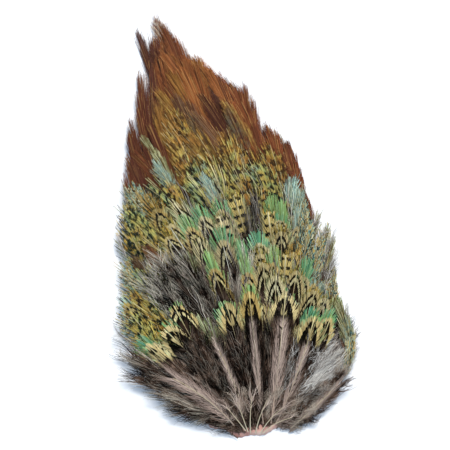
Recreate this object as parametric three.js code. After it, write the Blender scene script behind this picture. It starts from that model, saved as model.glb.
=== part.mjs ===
// A dried rump patch of a ring-necked pheasant: a thin piece of skin with its feathers still rooted in it.
// Millimetres, +Z up. The patch lies on its skin side. The origin is on the underside of the skin, at its
// front margin, and +Y runs towards the tail end, where the longest coverts reach.
import * as THREE from "three";

// The follicles stand in rows on arcs about one fan centre, which lies in front of the skin.
const FAN_CENTRE = new THREE.Vector2(6, -28);
const FAN_AXIS_DEG = 99.5; // the patch leans a little to the left of +Y
const FRONT_ROW_RADIUS = 30;
const ROW_SPACING = 12;
const FOLLICLE_TO_SKIN_EDGE = 2;

// The skin is a rounded outline about the same centre, with a ragged cut edge.
const SKIN_THICKNESS = 1.4;
const SKIN_EDGE_ROUNDING = 0.4;
const SKIN_HALF_WIDTH = 29.5;
const SKIN_WIDEST_RADIUS = 80;
const SKIN_HALF_LENGTH = 54;
const SKIN_FULLNESS = 2.5; // 2 is an ellipse, and more is fuller
const SKIN_OUTLINE_POINTS = 90;
const SKIN_RAGGED = 0.5; // how far the cut edge wavers

// Each row of feathers lies on the next one, so a layer rises from its follicles to its tips.
const LAYER_RISE = 2.2; // from one row to the next
const QUILL_CLEARANCE = 0.3; // between a quill and the skin that it rests on
const EDGE_SETTLING = 0.85; // how much of its rise a layer loses for each millimetre past the skin's side
const EDGE_SOFTNESS = 8; // length over which that loss sets in

// One feather: a cambered vane with a quill ridge along its middle.
const QUILL_HALF_WIDTH = 0.5;
const QUILL_RIDGE = 0.6; // above the vane's mid-surface
const VANE_TOP = 0.25;
const VANE_BOTTOM = 0.3;
const QUILL_KEEL = 0.35; // below the vane's mid-surface
const TIP_SLIMMING = 0.4; // share of its thickness that a feather loses towards its tip
const CAMBER_SHARE = 0.1; // how far the vane's edges hang, as a share of its half width
const SIDE_GAP = 0.35; // between neighbours in a row
const SET_OUT_ALONG_RAY = 0.5; // how strongly a feather sets out along its own ray of the fan
const BEND_AT = 0.45; // share of the length where a feather has turned towards its tip
const TIP_WANDER = 1.6; // how far a tip strays from its row's arc
const RINGS = 10;

// Outlines of a vane: where along the feather it is widest, and a taper that is low for a rounded tip and
// high for a pointed one.
const ROUNDED = { widestAt: 0.6, taper: 0.5 };
const NARROWING = { widestAt: 0.6, taper: 0.65 };
const POINTED = { widestAt: 0.65, taper: 0.8 };

// One row of feathers: its tips from left to right, and the angles by which its leftmost and its rightmost
// feather set out to the right of their straight line, so that they curve back to the left.
function row(name, count, vane, finish, sweepDeg, tips) {
  return { name, count, vane, finish, sweepDeg, tips };
}

// Rows from the front of the patch to its tail end.
const ROWS = [
  row("front_feather", 8, ROUNDED, "downy", [0, 10], [[-52, 20], [-7, 51], [36, 18]]),
  row("lower_feather", 8, ROUNDED, "downy", [0, 15], [[-56, 31], [-10, 66], [39, 33]]),
  row("barred_feather_a", 7, ROUNDED, "barred", [8, 15], [[-57, 44], [-14, 78], [37, 51]]),
  row("barred_feather_b", 7, ROUNDED, "barred", [10, 18], [[-56, 61], [-18, 91], [33, 66]]),
  row("barred_feather_c", 7, ROUNDED, "barred", [12, 22], [[-55, 77], [-21, 105], [28, 79]]),
  row("golden_feather_a", 6, NARROWING, "golden", [5, 28], [[-54, 97], [-25, 119], [22, 91]]),
  row("golden_feather_b", 5, NARROWING, "golden", [-10, 25], [[-50, 120], [-27, 132], [17, 106]]),
  row("tail_covert_a", 5, POINTED, "rusty", [-5, 20], [[-47, 141], [-29, 149], [9, 119]]),
  row(
    "tail_covert_b",
    6,
    POINTED,
    "rusty",
    [5, 20],
    [[-49, 158], [-41, 164], [-33, 157], [-22, 147], [-14, 142], [-4, 136]],
  ),
];

const FINISHES = {
  skin: { color: 0xc9a08c, roughness: 0.6 },
  downy: { color: 0x6b5d53, roughness: 0.9 },
  barred: { color: 0x8a8450, roughness: 0.75 },
  golden: { color: 0x80683a, roughness: 0.75 },
  rusty: { color: 0x7c4a2b, roughness: 0.7 },
};

const axis = THREE.MathUtils.degToRad(FAN_AXIS_DEG);
const lastRowRadius = FRONT_ROW_RADIUS + ROW_SPACING * (ROWS.length - 1);

// The point that is a distance from the fan centre and an arc length to the left of the patch's axis.
function onFan(radius, left) {
  const angle = axis + left / radius;
  return new THREE.Vector2(Math.cos(angle), Math.sin(angle)).multiplyScalar(radius).add(FAN_CENTRE);
}

function skinHalfWidth(radius) {
  const along = Math.min(1, Math.abs(radius - SKIN_WIDEST_RADIUS) / SKIN_HALF_LENGTH);
  return SKIN_HALF_WIDTH * Math.sqrt(1 - Math.pow(along, SKIN_FULLNESS));
}

// Zero up to a bound and then a straight rise, with a soft turn between them.
function softExcess(value, softness) {
  const past = Math.max(0, value + softness / 2);
  return past > softness ? value : (past * past) / (2 * softness);
}

// Height at which a feather of the front row passes over a point. Each later row passes one rise lower, and
// past the last row all of them run level.
function drape(point) {
  const fromCentre = point.clone().sub(FAN_CENTRE);
  const radius = fromCentre.length();
  const left = (fromCentre.angle() - axis) * radius;
  const pastTail = softExcess(radius - lastRowRadius, EDGE_SOFTNESS);
  const sideOfSkin = skinHalfWidth(Math.min(radius, lastRowRadius));
  const pastSide = softExcess(Math.abs(left) - sideOfSkin, EDGE_SOFTNESS);
  const rows = (radius - pastTail - EDGE_SETTLING * pastSide - FRONT_ROW_RADIUS) / ROW_SPACING;
  return SKIN_THICKNESS + QUILL_CLEARANCE + QUILL_KEEL + LAYER_RISE * rows;
}

// A small repeatable number between -1 and 1 for each feather.
function wander(row, place, seed) {
  return Math.sin(12.9898 * (row + 1) + 78.233 * (place + 1) + 37.719 * seed);
}

// The centre lines of a row's feathers in plan, from left to right.
function centreLines(row, index) {
  const radius = FRONT_ROW_RADIUS + ROW_SPACING * index;
  const halfRow = skinHalfWidth(radius) - FOLLICLE_TO_SKIN_EDGE;
  const tips = new THREE.SplineCurve(row.tips.map(([x, y]) => new THREE.Vector2(x, y)));
  return Array.from({ length: row.count }, (_, place) => {
    const share = place / (row.count - 1);
    const root = onFan(radius, halfRow * (1 - 2 * share));
    const ray = root.clone().sub(FAN_CENTRE).normalize();
    const stray = new THREE.Vector2(wander(index, place, 1), wander(index, place, 2));
    const tip = tips.getPoint(share).addScaledVector(stray, TIP_WANDER);
    const straight = tip.clone().sub(root).normalize();
    const sweep = THREE.MathUtils.degToRad(THREE.MathUtils.lerp(...row.sweepDeg, share));
    const setOut = straight.addScaledVector(ray, SET_OUT_ALONG_RAY).normalize();
    setOut.rotateAround(new THREE.Vector2(), -sweep);
    const bend = root.clone().addScaledVector(setOut, BEND_AT * tip.distanceTo(root));
    return new THREE.QuadraticBezierCurve(root, bend, tip);
  });
}

// Half of the room between a centre line and its neighbour, measured across the feather.
function roomTo(neighbour, line, share) {
  if (!neighbour) return Infinity;
  const across = neighbour.getPoint(share).sub(line.getPoint(share));
  return Math.abs(line.getTangent(share).cross(across)) / 2 - SIDE_GAP / 2;
}

// Half width of a vane at a share of the feather's length: it opens from the quill and closes at the tip.
function halfWidth(lines, place, share, { widestAt, taper }) {
  const rooms = [lines[place - 1], lines[place + 1]].map((other) => roomTo(other, lines[place], share));
  const opening = THREE.MathUtils.smoothstep(share, 0, widestAt);
  const past = Math.max(0, (share - widestAt) / (1 - widestAt));
  const closing = Math.pow(1 - past * past, taper);
  return QUILL_HALF_WIDTH + Math.max(0, Math.min(...rooms) - QUILL_HALF_WIDTH) * opening * closing;
}

// The cross section of a feather: two sharp vane edges, the quill's ridge on top and its keel below. across
// is a share of the half width, and the points run as a sphere's do, once round.
const SECTION = [
  { across: -1, up: 0 },
  { across: -0.5, up: -VANE_BOTTOM },
  { across: 0, up: -QUILL_KEEL },
  { across: 0.5, up: -VANE_BOTTOM },
  { across: 1, up: 0 },
  { across: 0.5, up: VANE_TOP },
  { across: 0, up: QUILL_RIDGE },
  { across: -0.5, up: VANE_TOP },
];

// A closed feather: the rings of a sphere become its cross sections, from the quill's root to the tip.
function featherGeometry(lines, place, row, index) {
  const geometry = new THREE.SphereGeometry(1, SECTION.length, RINGS);
  const position = geometry.getAttribute("position");
  const line = lines[place];
  for (let i = 0; i < position.count; i++) {
    const ring = Math.floor(i / (SECTION.length + 1));
    const isPole = ring === 0 || ring === RINGS;
    const corner = i % (SECTION.length + 1) % SECTION.length;
    const { across, up } = isPole ? { across: 0, up: 0 } : SECTION[corner];
    const share = (1 - position.getY(i)) / 2;
    const half = halfWidth(lines, place, share, row.vane);
    const heading = line.getTangent(share);
    const right = new THREE.Vector2(heading.y, -heading.x);
    const point = line.getPoint(share).addScaledVector(right, across * half);
    const layer = drape(point) - LAYER_RISE * index;
    const camber = CAMBER_SHARE * half * across * across;
    position.setXYZ(i, point.x, point.y, layer + up * (1 - TIP_SLIMMING * share) - camber);
  }
  return geometry;
}

function skinGeometry() {
  const outline = Array.from({ length: SKIN_OUTLINE_POINTS }, (_, i) => {
    const turn = (2 * Math.PI * i) / SKIN_OUTLINE_POINTS;
    const along = Math.sign(Math.cos(turn)) * Math.pow(Math.abs(Math.cos(turn)), 2 / SKIN_FULLNESS);
    const ragged = SKIN_RAGGED * (Math.sin(9 * turn) + Math.sin(16 * turn + 1)) - SKIN_EDGE_ROUNDING;
    return onFan(
      SKIN_WIDEST_RADIUS + (SKIN_HALF_LENGTH + ragged) * along,
      (SKIN_HALF_WIDTH + ragged) * Math.sin(turn),
    );
  });
  const geometry = new THREE.ExtrudeGeometry(new THREE.Shape(outline), {
    depth: SKIN_THICKNESS - 2 * SKIN_EDGE_ROUNDING,
    bevelThickness: SKIN_EDGE_ROUNDING,
    bevelSize: SKIN_EDGE_ROUNDING,
    bevelSegments: 1,
  });
  return geometry.translate(0, 0, SKIN_EDGE_ROUNDING);
}

function piece(name, geometry, finish) {
  const material = new THREE.MeshStandardMaterial({ ...FINISHES[finish], metalness: 0 });
  const mesh = new THREE.Mesh(geometry, material);
  mesh.name = name;
  return mesh;
}

const patch = new THREE.Group();
patch.name = "pheasant_rump_patch";
patch.add(piece("skin", skinGeometry(), "skin"));
ROWS.forEach((row, index) => {
  const lines = centreLines(row, index);
  lines.forEach((_, place) => {
    patch.add(piece(`${row.name}_${place + 1}`, featherGeometry(lines, place, row, index), row.finish));
  });
});

export default patch;
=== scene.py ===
# The looks of a dried pheasant rump patch: its skin, and on it several hundred feathers built barb by barb.
# The feathers lie in the frame's rows. Plan sizes are in millimetres, and the meshes are made in metres.
import math
from dataclasses import dataclass, replace
from types import SimpleNamespace

import bpy
import numpy as np
from mathutils import Matrix, Vector


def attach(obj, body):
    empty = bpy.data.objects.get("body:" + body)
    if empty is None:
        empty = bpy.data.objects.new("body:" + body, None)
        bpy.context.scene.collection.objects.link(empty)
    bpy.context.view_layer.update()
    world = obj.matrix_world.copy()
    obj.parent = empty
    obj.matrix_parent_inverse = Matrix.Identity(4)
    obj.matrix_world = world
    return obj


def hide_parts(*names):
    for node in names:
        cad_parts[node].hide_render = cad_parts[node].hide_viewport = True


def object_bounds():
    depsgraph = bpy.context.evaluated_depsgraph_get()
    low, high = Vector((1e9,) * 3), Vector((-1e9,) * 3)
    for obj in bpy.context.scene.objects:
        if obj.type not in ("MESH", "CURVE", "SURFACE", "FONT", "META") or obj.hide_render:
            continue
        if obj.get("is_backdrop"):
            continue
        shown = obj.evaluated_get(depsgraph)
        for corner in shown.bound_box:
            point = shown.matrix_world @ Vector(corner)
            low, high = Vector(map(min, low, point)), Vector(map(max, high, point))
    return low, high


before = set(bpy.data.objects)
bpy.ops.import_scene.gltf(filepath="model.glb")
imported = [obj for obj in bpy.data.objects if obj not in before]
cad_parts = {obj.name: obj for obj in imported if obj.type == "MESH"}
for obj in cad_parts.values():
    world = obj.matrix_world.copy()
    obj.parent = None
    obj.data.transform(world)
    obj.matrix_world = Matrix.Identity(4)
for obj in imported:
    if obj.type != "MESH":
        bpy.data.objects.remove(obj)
cad_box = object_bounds()

MM = 0.001
SEED = 3923

# The plan of the frame: follicles on arcs about a fan centre, and each row laid over the next one.
FAN_CENTRE = np.array([6.0, -28.0])
FAN_AXIS = math.radians(99.5)
FRONT_ROW_RADIUS = 30.0
ROW_SPACING = 12.0
FOLLICLE_TO_SKIN_EDGE = 2.0
SKIN_THICKNESS = 1.4
SKIN_HALF_WIDTH = 29.5
SKIN_WIDEST_RADIUS = 80.0
SKIN_HALF_LENGTH = 54.0
SKIN_FULLNESS = 2.5
LAYER_RISE = 2.2
QUILL_HEIGHT = 2.05  # of a quill's middle where it leaves the skin
EDGE_SETTLING = 0.85
EDGE_SOFTNESS = 8.0
CAMBER_SHARE = 0.1
SET_OUT_ALONG_RAY = 0.5
BEND_AT = 0.45
TIP_WANDER = 1.6


@dataclass
class Row:
    """A row's tips from left to right, and how far its first and last feathers set out to the right."""

    name: str
    plumage: str
    count: int
    sweep_deg: list
    tips: list


ROWS = [
    Row("front_feather", "downy", 8, [0, 10], [[-52, 20], [-7, 51], [36, 18]]),
    Row("lower_feather", "downy", 8, [0, 15], [[-56, 31], [-10, 66], [39, 33]]),
    Row("barred_feather_a", "barred", 7, [8, 15], [[-57, 44], [-14, 78], [37, 51]]),
    Row("barred_feather_b", "barred", 7, [10, 18], [[-56, 61], [-18, 91], [33, 66]]),
    Row("barred_feather_c", "barred", 7, [12, 22], [[-55, 77], [-21, 105], [28, 79]]),
    Row("golden_feather_a", "golden", 6, [5, 28], [[-54, 97], [-25, 119], [22, 91]]),
    Row("golden_feather_b", "golden", 5, [-10, 25], [[-50, 120], [-27, 132], [17, 106]]),
    Row("tail_covert_a", "rusty", 5, [-5, 20], [[-47, 141], [-29, 149], [9, 119]]),
    Row("tail_covert_b", "rusty", 6, [5, 20],
        [[-49, 158], [-41, 164], [-33, 157], [-22, 147], [-14, 142], [-4, 136]]),
]
LAST_ROW_RADIUS = FRONT_ROW_RADIUS + ROW_SPACING * (len(ROWS) - 1)

# Loose barbs settle between the floor and a little above the frame's box.
LOWEST = 0.05
HIGHEST = cad_box[1][2] / MM + 0.25
SETTLING_FROM = HIGHEST - 2.0


def smooth(value, low, high):
    """Rises from 0 at the first bound to 1 at the second, which may be the lower one."""
    share = np.clip((value - low) / (high - low), 0.0, 1.0)
    return share * share * (3.0 - 2.0 * share)


def read(table, value):
    """Interpolates between the few points of a table."""
    return np.interp(value, list(table), list(table.values()))


def turned(vector, turn_deg):
    turn = math.radians(turn_deg)
    cosine, sine = math.cos(turn), math.sin(turn)
    return np.array([cosine * vector[0] - sine * vector[1], sine * vector[0] + cosine * vector[1]])


def with_height(plan, height):
    return np.concatenate([plan, height[..., None]], axis=-1)


def settled(height):
    """Heights pressed down smoothly under the highest one."""
    room = HIGHEST - SETTLING_FROM
    pressed = SETTLING_FROM + room * (1 - np.exp(-np.maximum(height - SETTLING_FROM, 0.0) / room))
    return np.maximum(LOWEST, np.where(height < SETTLING_FROM, height, pressed))


def on_fan(radius, left):
    """The point at a distance from the fan centre and an arc length to the left of the patch's axis."""
    angle = FAN_AXIS + left / radius
    return FAN_CENTRE + np.stack([radius * np.cos(angle), radius * np.sin(angle)], axis=-1)


def skin_half_width(radius):
    along = np.minimum(1.0, np.abs(radius - SKIN_WIDEST_RADIUS) / SKIN_HALF_LENGTH)
    return SKIN_HALF_WIDTH * np.sqrt(1.0 - along**SKIN_FULLNESS)


def soft_excess(value):
    past = np.maximum(0.0, value + EDGE_SOFTNESS / 2)
    return np.where(past > EDGE_SOFTNESS, value, past * past / (2 * EDGE_SOFTNESS))


def drape(points):
    """Height at which a feather of the front row passes over each point."""
    from_centre = points - FAN_CENTRE
    radius = np.linalg.norm(from_centre, axis=-1)
    left = (np.arctan2(from_centre[..., 1], from_centre[..., 0]) - FAN_AXIS) * radius
    past_tail = soft_excess(radius - LAST_ROW_RADIUS)
    past_side = soft_excess(np.abs(left) - skin_half_width(np.minimum(radius, LAST_ROW_RADIUS)))
    rows = (radius - past_tail - EDGE_SETTLING * past_side - FRONT_ROW_RADIUS) / ROW_SPACING
    return QUILL_HEIGHT + LAYER_RISE * rows


def wander(row, place, seed):
    """The frame's repeatable number between -1 and 1 for each of its feathers."""
    return math.sin(12.9898 * (row + 1) + 78.233 * (place + 1) + 37.719 * seed)


def on_spline(points, share):
    """A point on the Catmull-Rom spline through a row's tips."""
    points = np.array(points, dtype=float)
    last = len(points) - 1
    place = share * last
    start = min(int(place), last)
    weight = place - start
    p0, p1 = points[max(start - 1, 0)], points[start]
    p2, p3 = points[min(start + 1, last)], points[min(start + 2, last)]
    v0, v1 = (p2 - p0) / 2, (p3 - p1) / 2
    cube = 2 * p1 - 2 * p2 + v0 + v1
    square = -3 * p1 + 3 * p2 - 2 * v0 - v1
    return cube * weight**3 + square * weight**2 + v0 * weight + p1


def between_rows(depth, of_row):
    """What of_row gives for a row that may lie between two of the frame's rows."""
    before = int(np.clip(math.floor(depth), 0, len(ROWS) - 2))
    part = min(depth - before, 1.0)
    return (1 - part) * of_row(ROWS[before]) + part * of_row(ROWS[before + 1])


def row_tip(depth, share):
    return between_rows(depth, lambda row: on_spline(row.tips, share))


def row_sweep_deg(depth, share):
    return between_rows(depth, lambda row: np.interp(share, [0, 1], row.sweep_deg))


def follicle(depth, share):
    radius = FRONT_ROW_RADIUS + ROW_SPACING * depth
    half_row = max(0.0, skin_half_width(radius) - FOLLICLE_TO_SKIN_EDGE)
    return on_fan(radius, half_row * (1 - 2 * share))


class CentreLine:
    """A feather's quill in plan, a quadratic curve from its follicle to its tip."""

    def __init__(self, root, tip, sweep_deg):
        self.root, self.tip = root, tip
        reach = tip - root
        self.length = float(np.linalg.norm(reach))
        ray = (root - FAN_CENTRE) / np.linalg.norm(root - FAN_CENTRE)
        set_out = turned(reach / self.length + SET_OUT_ALONG_RAY * ray, -sweep_deg)
        self.bend = root + set_out / np.linalg.norm(set_out) * BEND_AT * self.length

    def place(self, along, across):
        """Plan points at lengths along the feather and distances to the right of its quill."""
        share = along / self.length
        inside = np.clip(share, 0.0, 1.0)[..., None]
        first, last = self.bend - self.root, self.tip - self.bend
        point = self.root + 2 * inside * first + inside**2 * (last - first)
        heading = first + inside * (last - first)
        heading = heading / np.linalg.norm(heading, axis=-1, keepdims=True)
        point = point + heading * ((share - inside[..., 0]) * self.length)[..., None]
        right = np.stack([heading[..., 1], -heading[..., 0]], axis=-1)
        return point + right * across[..., None]


# The outline of the patch in the photo: y of its front edge at places x, and x of its sides at heights y.
FRONT_EDGE = {-56: 29, -53: 20, -47: 10.5, -39: 3.5, -34: 2.5, -29: 5, -23: 6, -16: 3, -7: 2.5, 3: -4.5,
              11: -6, 17: 0.5, 23: 9.5, 31: 19, 37: 25}
LEFT_EDGE = {20: -53, 28: -54, 31: -56, 43: -57, 47: -55.5, 56: -55, 63: -55, 70: -57.5, 75: -57, 82: -55.5,
             90: -54, 97: -54, 122: -52, 124: -48, 135: -46, 142: -44, 163: -43}
RIGHT_EDGE = {20: 36, 28: 39, 35: 42, 41: 39, 47: 38, 57: 34, 70: 32.5, 77: 32, 80: 30, 84: 27.5, 87: 22,
              92: 16.5, 99: 14.5, 103: 12, 109: 14.5, 115: 11.5, 119: 5, 125: 2, 130: -2, 134: -5, 138: -12,
              144: -21.5, 150: -26, 160: -37.5}
TIP_TO_FRONT = 2.5
TIP_TO_LEFT = 1.5
TIP_TO_RIGHT = {85: 3.5, 100: 0.5}
LAST_OUTLINED_ROW = 7  # the rows behind it have tips of their own past the left edge


def inside_outline(tip):
    y = max(tip[1], read(FRONT_EDGE, tip[0]) + TIP_TO_FRONT)
    left = read(LEFT_EDGE, y) + TIP_TO_LEFT
    right = read(RIGHT_EDGE, y) - read(TIP_TO_RIGHT, y)
    return np.array([np.clip(tip[0], left, max(left, right)), y])


def line_at(depth, share, stray):
    """The centre line of a feather of the rows, with its tip moved a little."""
    tip = row_tip(depth, share) + stray
    outlined = inside_outline(tip)
    if depth < LAST_OUTLINED_ROW or outlined[0] < tip[0]:
        tip = outlined
    return CentreLine(follicle(depth, share), tip, row_sweep_deg(depth, share))


def flow_deg(tip):
    """How much more the tips lean to the left in the middle of the patch than at its right and its ends."""
    middle = smooth(tip[1], 60, 85) * smooth(tip[1], 150, 135)
    return middle * read({-52: 5, -40: 24, 0: 18, 15: -5}, tip[0])


@dataclass
class Plume:
    """What one feather looks like. Lengths are in millimetres."""

    half_width: float = 5.2
    right: float = 1.0  # width of the right half as a share of the left one's
    barbs: int = 95  # on each side
    segments: int = 5
    crowding: float = 0.8  # under 1 puts more barbs near the tip than near the root
    stem: float = 0.86  # length of the quill as a share of the feather's
    bare: float = 0.05  # share of the quill without barbs
    reach: float = 6.5  # how far a firm barb runs forward
    down_reach: float = 13.0  # how far a downy one does
    tip_length: float = 12.0  # of the rounded end
    arch_half_width: float = 4.3
    arch_length: float = 14.0
    down_until: float = 0.5  # share of the length with downy barbs
    fluff: float = 0.7  # how high downy barbs rise
    curl: float = 0.5  # how far downy barbs wave
    waves: float = 1.2  # in the length of a downy barb
    barb_width: float = 0.26
    fraying: float = 0.5  # how far barb ends stray
    clump: float = 0.6  # length of the quill whose barbs stick together
    quill: float = 0.4  # radius of the quill at its root
    hue: float = 0.5  # where in its kind's range of colours it is
    green: float = 0.0
    rust: float = 0.0
    ladder: float = 0.0  # 1 for paired spots, and 0 for nested arches
    mottle: float = 0.0  # 1 for short gold and dark stretches of barb
    streaky: float = 0.0  # 1 for loose pale and dark barbs without a pattern
    speckle: float = 0.0  # 1 for slate, gold and cream specks
    fringe: float = 3.0  # length of the plain ends
    bands: float = 1.0  # size of the arches
    marks: float = 0.0  # 1 for gold marks beside the quill, under the arch
    shaft: float = 0.0  # 1 for a white quill on top of the barbs
    pale: float = 0.0
    down: float = 0.0  # 1 for a feather that is down to its tip
    tan: float = 0.0  # half width of the tan band along the quill
    silver: float = 0.0  # how silvery the barbs' ends are


FIELDS = list(Plume.__dataclass_fields__)
FEATHER_VALUES = FIELDS[FIELDS.index("hue"):]  # those that the materials read
POINT_VALUES = ["arch", "below", "across", "end", "fibre"] + FEATHER_VALUES


def placed(name, data):
    obj = bpy.data.objects.new(name, data)
    bpy.context.scene.collection.objects.link(obj)
    return obj


def set_all(items, name, values, kind=np.float32):
    """Sets one property of all points, corners or faces of a mesh."""
    items.foreach_set(name, np.asarray(values).astype(kind).reshape(-1))


BAKE_COLUMNS = 8
BAKE_MARGINS = np.array([0.01, 0.1])  # as shares of a cell's two sides
FACE_CORNERS = np.array([[0, 0], [0, 1], [1, 1], [1, 0]])  # in steps along and across a strip


class PieceMesh:
    """Collects strips of faces and the values that the materials read, and makes one mesh of them."""

    def __init__(self):
        self.grids, self.point_count, self.cell_count = [], 0, 0

    def add_grids(self, points, values, slot, closed=False):
        """Adds many grids of one size: points[grid, along, across, 3], values[name][grid, along, across]."""
        grids, rows, columns, _ = points.shape
        ids = self.point_count + np.arange(grids * rows * columns).reshape(grids, rows, columns)
        right = np.roll(ids, -1, axis=2) if closed else ids[:, :, 1:]
        left = ids if closed else ids[:, :, :-1]
        faces = np.stack([left[:, :-1], right[:, :-1], right[:, 1:], left[:, 1:]], axis=-1)
        steps = faces.shape[1:3]
        corners = (np.moveaxis(np.indices(steps), 0, -1)[:, :, None] + FACE_CORNERS) / steps
        grid = {name: np.broadcast_to(values[name], ids.shape).ravel() for name in POINT_VALUES}
        grid["points"] = points.reshape(-1, 3)
        grid["faces"] = faces.reshape(-1, 4)
        grid["corners"] = np.tile(corners.reshape(-1, 4, 2), (grids, 1, 1))
        grid["cells"] = np.repeat(self.cell_count + np.arange(grids), steps[0] * steps[1])
        grid["slots"] = np.full(grids * steps[0] * steps[1], slot)
        self.grids.append(grid)
        self.point_count += ids.size
        self.cell_count += grids

    def all(self, name):
        return np.concatenate([grid[name] for grid in self.grids])

    def build(self, piece_name, node, materials):
        """Makes the piece that takes the place of one of the frame's nodes."""
        points, faces = self.all("points"), self.all("faces")
        mesh = bpy.data.meshes.new(piece_name)
        mesh.vertices.add(len(points))
        mesh.loops.add(faces.size)
        mesh.polygons.add(len(faces))
        set_all(mesh.vertices, "co", points * MM)
        set_all(mesh.loops, "vertex_index", faces, np.int32)
        set_all(mesh.polygons, "loop_start", np.arange(0, faces.size, 4), np.int32)
        set_all(mesh.polygons, "material_index", self.all("slots"), np.int32)
        set_all(mesh.polygons, "use_smooth", np.ones(len(faces)), bool)
        for name in POINT_VALUES:
            set_all(mesh.attributes.new(name, "FLOAT", "POINT").data, "value", self.all(name))
        set_all(mesh.uv_layers.new(name="OFBake").data, "uv", self.bake_map())
        mesh.update(calc_edges=True)
        for material in materials:
            mesh.materials.append(material)
        piece = placed(piece_name, mesh)
        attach(piece, "root")
        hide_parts(node)

    def bake_map(self):
        """Gives each strip a cell of its own in the bake's picture."""
        cells = self.all("cells")
        cell = np.stack([cells % BAKE_COLUMNS, cells // BAKE_COLUMNS], axis=-1)[:, None]
        inside = BAKE_MARGINS + (1 - 2 * BAKE_MARGINS) * self.all("corners")
        return (cell + inside) / [BAKE_COLUMNS, math.ceil(self.cell_count / BAKE_COLUMNS)]


ROOT_SINKING = 6.0  # length over which a quill rises out of the skin to its layer
SHARED_FIBRES = 0.88  # of the barbs that stick together have one colouring
BARB_SET_OUT = (0.55, 0.3)  # where a barb bends, across and along, as shares of its reach
QUILL_SIDES = 5
QUILL_RINGS = 12
QUILL_TIP_RADIUS = 0.08
QUILL_RISE = 0.12
SHAFT_RISE = 0.5  # of a white quill over the barbs


def outline_at(plume, length, across):
    """How far along the feather its rounded outline is at a distance from the quill."""
    part = np.clip(np.abs(across) / plume.half_width, 0.0, 1.0)
    return length - plume.tip_length * (1 - np.sqrt(1 - part**2))


def arch_depth(plume, length, along, across):
    """How far inside the arch about a feather's tip a point is, and negative outside it."""
    part = np.clip(np.abs(across) / plume.arch_half_width, 0.0, 0.995)
    steepness = np.sqrt(1 - part**2)
    slope = plume.arch_length / plume.arch_half_width * part / steepness
    return (length - along - plume.arch_length * (1 - steepness)) / np.hypot(1, slope)


def laid(plume, line, pose, along, across, rise, end, fibre):
    """Points of a feather at heights above its layer, and what the materials read at them."""
    depth, roll, perk = pose
    plan = line.place(along, across)
    share = np.maximum(along / line.length, 0.0)
    camber = CAMBER_SHARE * across**2 / plume.half_width
    layer = drape(plan) - LAYER_RISE * depth - camber + roll * across + perk * share**3
    out_of_skin = smooth(along, -0.4 * ROOT_SINKING, ROOT_SINKING)
    height = SKIN_THICKNESS + (layer - SKIN_THICKNESS) * out_of_skin + rise
    values = {name: getattr(plume, name) for name in FEATHER_VALUES}
    arch = arch_depth(plume, line.length - plume.fringe, along, across)
    values.update(arch=arch, below=line.length - along, across=np.abs(across), end=end, fibre=fibre)
    return with_height(plan, settled(height)), values


def strays(rng, clumps, spread):
    """Random offsets of the barbs' ends, mostly shared within a clump."""
    return rng.normal(0, spread, clumps.max() + 1)[clumps] + rng.normal(0, spread / 2, clumps.size)


def shared(rng, clumps, low, high):
    """Random numbers that are nearly the same for barbs that stick together."""
    own = rng.normal(0, 0.06 * (high - low), clumps.size)
    return (rng.uniform(low, high, clumps.max() + 1)[clumps] + own)[:, None]


def fibre_values(rng, clumps):
    """Random numbers from 0 to 1 that most barbs of a clump share."""
    of_clump = rng.uniform(0, 1, clumps.max() + 1)[clumps]
    return np.where(rng.uniform(0, 1, clumps.size) < SHARED_FIBRES, of_clump, rng.uniform(0, 1, clumps.size))


def barb_ends(rng, plume, length, roots, side, clumps):
    """Where each barb ends in the feather's own plane, and how downy it is."""
    stem = plume.stem * length
    rounded_from = length - plume.tip_length - plume.reach
    towards_side = np.clip((stem - roots) / (stem - rounded_from), 0.0, 1.0)
    x = plume.half_width * np.sin(towards_side * math.pi / 2)
    y = np.where(towards_side < 1, outline_at(plume, length, x), roots + plume.reach)
    down = 1 - smooth(roots / length, plume.down_until - 0.18, plume.down_until)
    down_x = plume.half_width * rng.uniform(0.3, 1.1, roots.size)
    down_y = np.minimum(roots + rng.uniform(0.5, 1.0, roots.size) * plume.down_reach, length + 1.0)
    x = x + (down_x - x) * down + strays(rng, clumps, plume.fraying)
    y = y + (down_y - y) * down + strays(rng, clumps, 1.5 * plume.fraying)
    return np.maximum(0.1, x) * np.where(side > 0, plume.right, -1.0), y, down


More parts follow.
